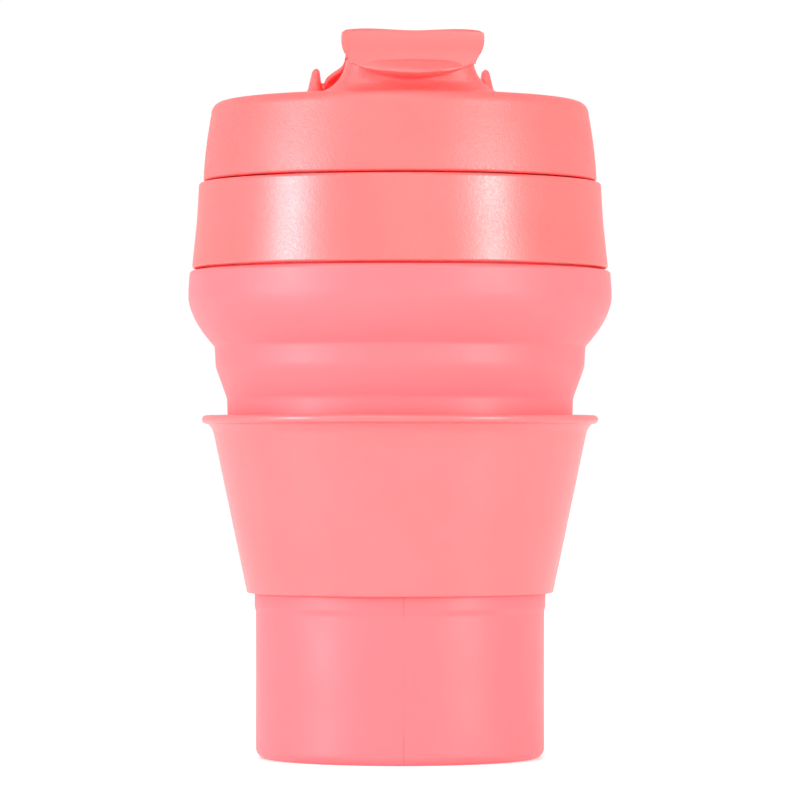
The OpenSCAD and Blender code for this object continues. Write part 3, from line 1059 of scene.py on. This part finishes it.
def make_flap():
    """The flap: outlines across it with round side edges, and a ladder of faces that closes each side."""
    edge = 0.42
    half_steps = 24
    stations = [(i / half_steps, 0) for i in range(-half_steps, half_steps + 1)]
    turns = [math.radians(a) for a in (20, 40, 60, 78)]
    stations = [(-1, a) for a in turns[::-1]] + stations + [(1, a) for a in turns]
    verts, faces = [], []
    count = 0
    for s, a in stations:
        outer, inner = flap_section(s)
        points = outer + inner[::-1]
        count = len(points)
        for (y, z, w), (ny, nz) in zip(points, outline_normals(points)):
            inset = edge * (1 - math.cos(a))
            reach = s * (w - edge) + math.copysign(edge * math.sin(a), s)
            verts.append((reach, y - ny * inset, z - nz * inset))
    for i in range(len(stations) - 1):
        for k in range(count):
            n = (k + 1) % count
            faces.append((i * count + k, i * count + n, (i + 1) * count + n, (i + 1) * count + k))
    for start in (0, (len(stations) - 1) * count):
        for k in range(count // 2 - 1):
            faces.append((start + k, start + k + 1, start + count - 2 - k, start + count - 1 - k))
    flap = make_object("flap_skin", verts, faces, FLAP_PLASTIC, 50)
    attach(flap, "flap_lever")
    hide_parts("flap")


make_flap()


def make_pins():
    """The two stub pins that turn in the ears' blind holes."""
    pin_r = 1.5
    pin_end = KNUCKLE_HALF + 1.4
    count = 40
    bevel = 0.3
    sections = [
        (KNUCKLE_HALF - 1, pin_r),
        (pin_end - bevel, pin_r),
        (pin_end, pin_r - bevel),
        (pin_end, 0.3),
    ]
    for side, name in ((-1, "left"), (1, "right")):
        rings = []
        for x, r in sections:
            rings.append([
                (side * x, HINGE_Y + r * math.cos(TURN * k / count), HINGE_Z + r * math.sin(TURN * k / count))
                for k in range(count)
            ])
        pin = loft(f"flap_pin_{name}", rings, FLAP_PLASTIC, closed=False)
        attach(pin, "flap_lever")


make_pins()

# ---------------------------------------------------------------- parts that keep their CAD shape


def finish_cad_nodes():
    """Gives the hidden hard and soft parts their finish."""
    finishes = {"neck_ring": SATIN_PLASTIC, "lid_gasket": SEAL, "flap_plug": SEAL}
    for name, material in finishes.items():
        for slot in frame["nodes"][name].material_slots:
            slot.material = material


finish_cad_nodes()

# ---------------------------------------------------------------- floor and light


def make_floor():
    """A pale ground, much wider than the view."""
    size = 6000
    mesh = bpy.data.meshes.new("floor")
    corners = [(-size, -size), (size, -size), (size, size), (-size, size)]
    mesh.from_pydata([(x * MM, y * MM, 0) for x, y in corners], [], [(0, 1, 2, 3)])
    s = Shader("floor_white")
    s.set(
        Base_Color=(0.95, 0.95, 0.95, 1),
        Roughness=0.4,
        Specular_IOR_Level=0.5,
        Emission_Color=(1, 1, 1, 1),
        Emission_Strength=0.22,
    )
    mesh.materials.append(s.material)
    floor = bpy.data.objects.new("floor", mesh)
    bpy.context.collection.objects.link(floor)


def add_softbox(name, azimuth, distance, height, width, tall, power, colour=(1, 1, 1)):
    """A rectangular light, placed by its angle from the camera's side and aimed at the cup."""
    light = bpy.data.lights.new(name, "AREA")
    light.shape = "RECTANGLE"
    light.size, light.size_y = width * MM, tall * MM
    light.energy = power
    light.color = colour
    obj = bpy.data.objects.new(name, light)
    bpy.context.collection.objects.link(obj)
    a = CAMERA_AZIMUTH + math.radians(azimuth)
    obj.location = Vector((math.sin(a) * distance, -math.cos(a) * distance, height)) * MM
    aim(obj, (0, 0, 90))


def light_scene():
    """A bright white studio: soft light all round, a soft box on each side of the camera and one above."""
    world = bpy.data.worlds.new("studio")
    world.use_nodes = True
    tree = world.node_tree
    background = tree.nodes["Background"]
    background.inputs["Color"].default_value = (1, 1, 1, 1)
    path = tree.nodes.new("ShaderNodeLightPath")
    strength = tree.nodes.new("ShaderNodeMapRange")
    strength.inputs["To Min"].default_value = 0.86
    strength.inputs["To Max"].default_value = 1.02
    tree.links.new(path.outputs["Is Camera Ray"], strength.inputs["Value"])
    tree.links.new(strength.outputs["Result"], background.inputs["Strength"])
    bpy.context.scene.world = world
    cool = (0.97, 0.93, 1)
    add_softbox("left_box", -63, 1100, 270, 190, 420, 11, cool)
    add_softbox("right_box", 51.5, 1200, 270, 140, 420, 10.5)
    add_softbox("top_box", -15, 950, 1250, 900, 700, 7)
    add_softbox("front_box", 8, 1700, 140, 1000, 900, 5)
    bpy.context.scene.view_settings.view_transform = "Standard"


make_floor()
light_scene()
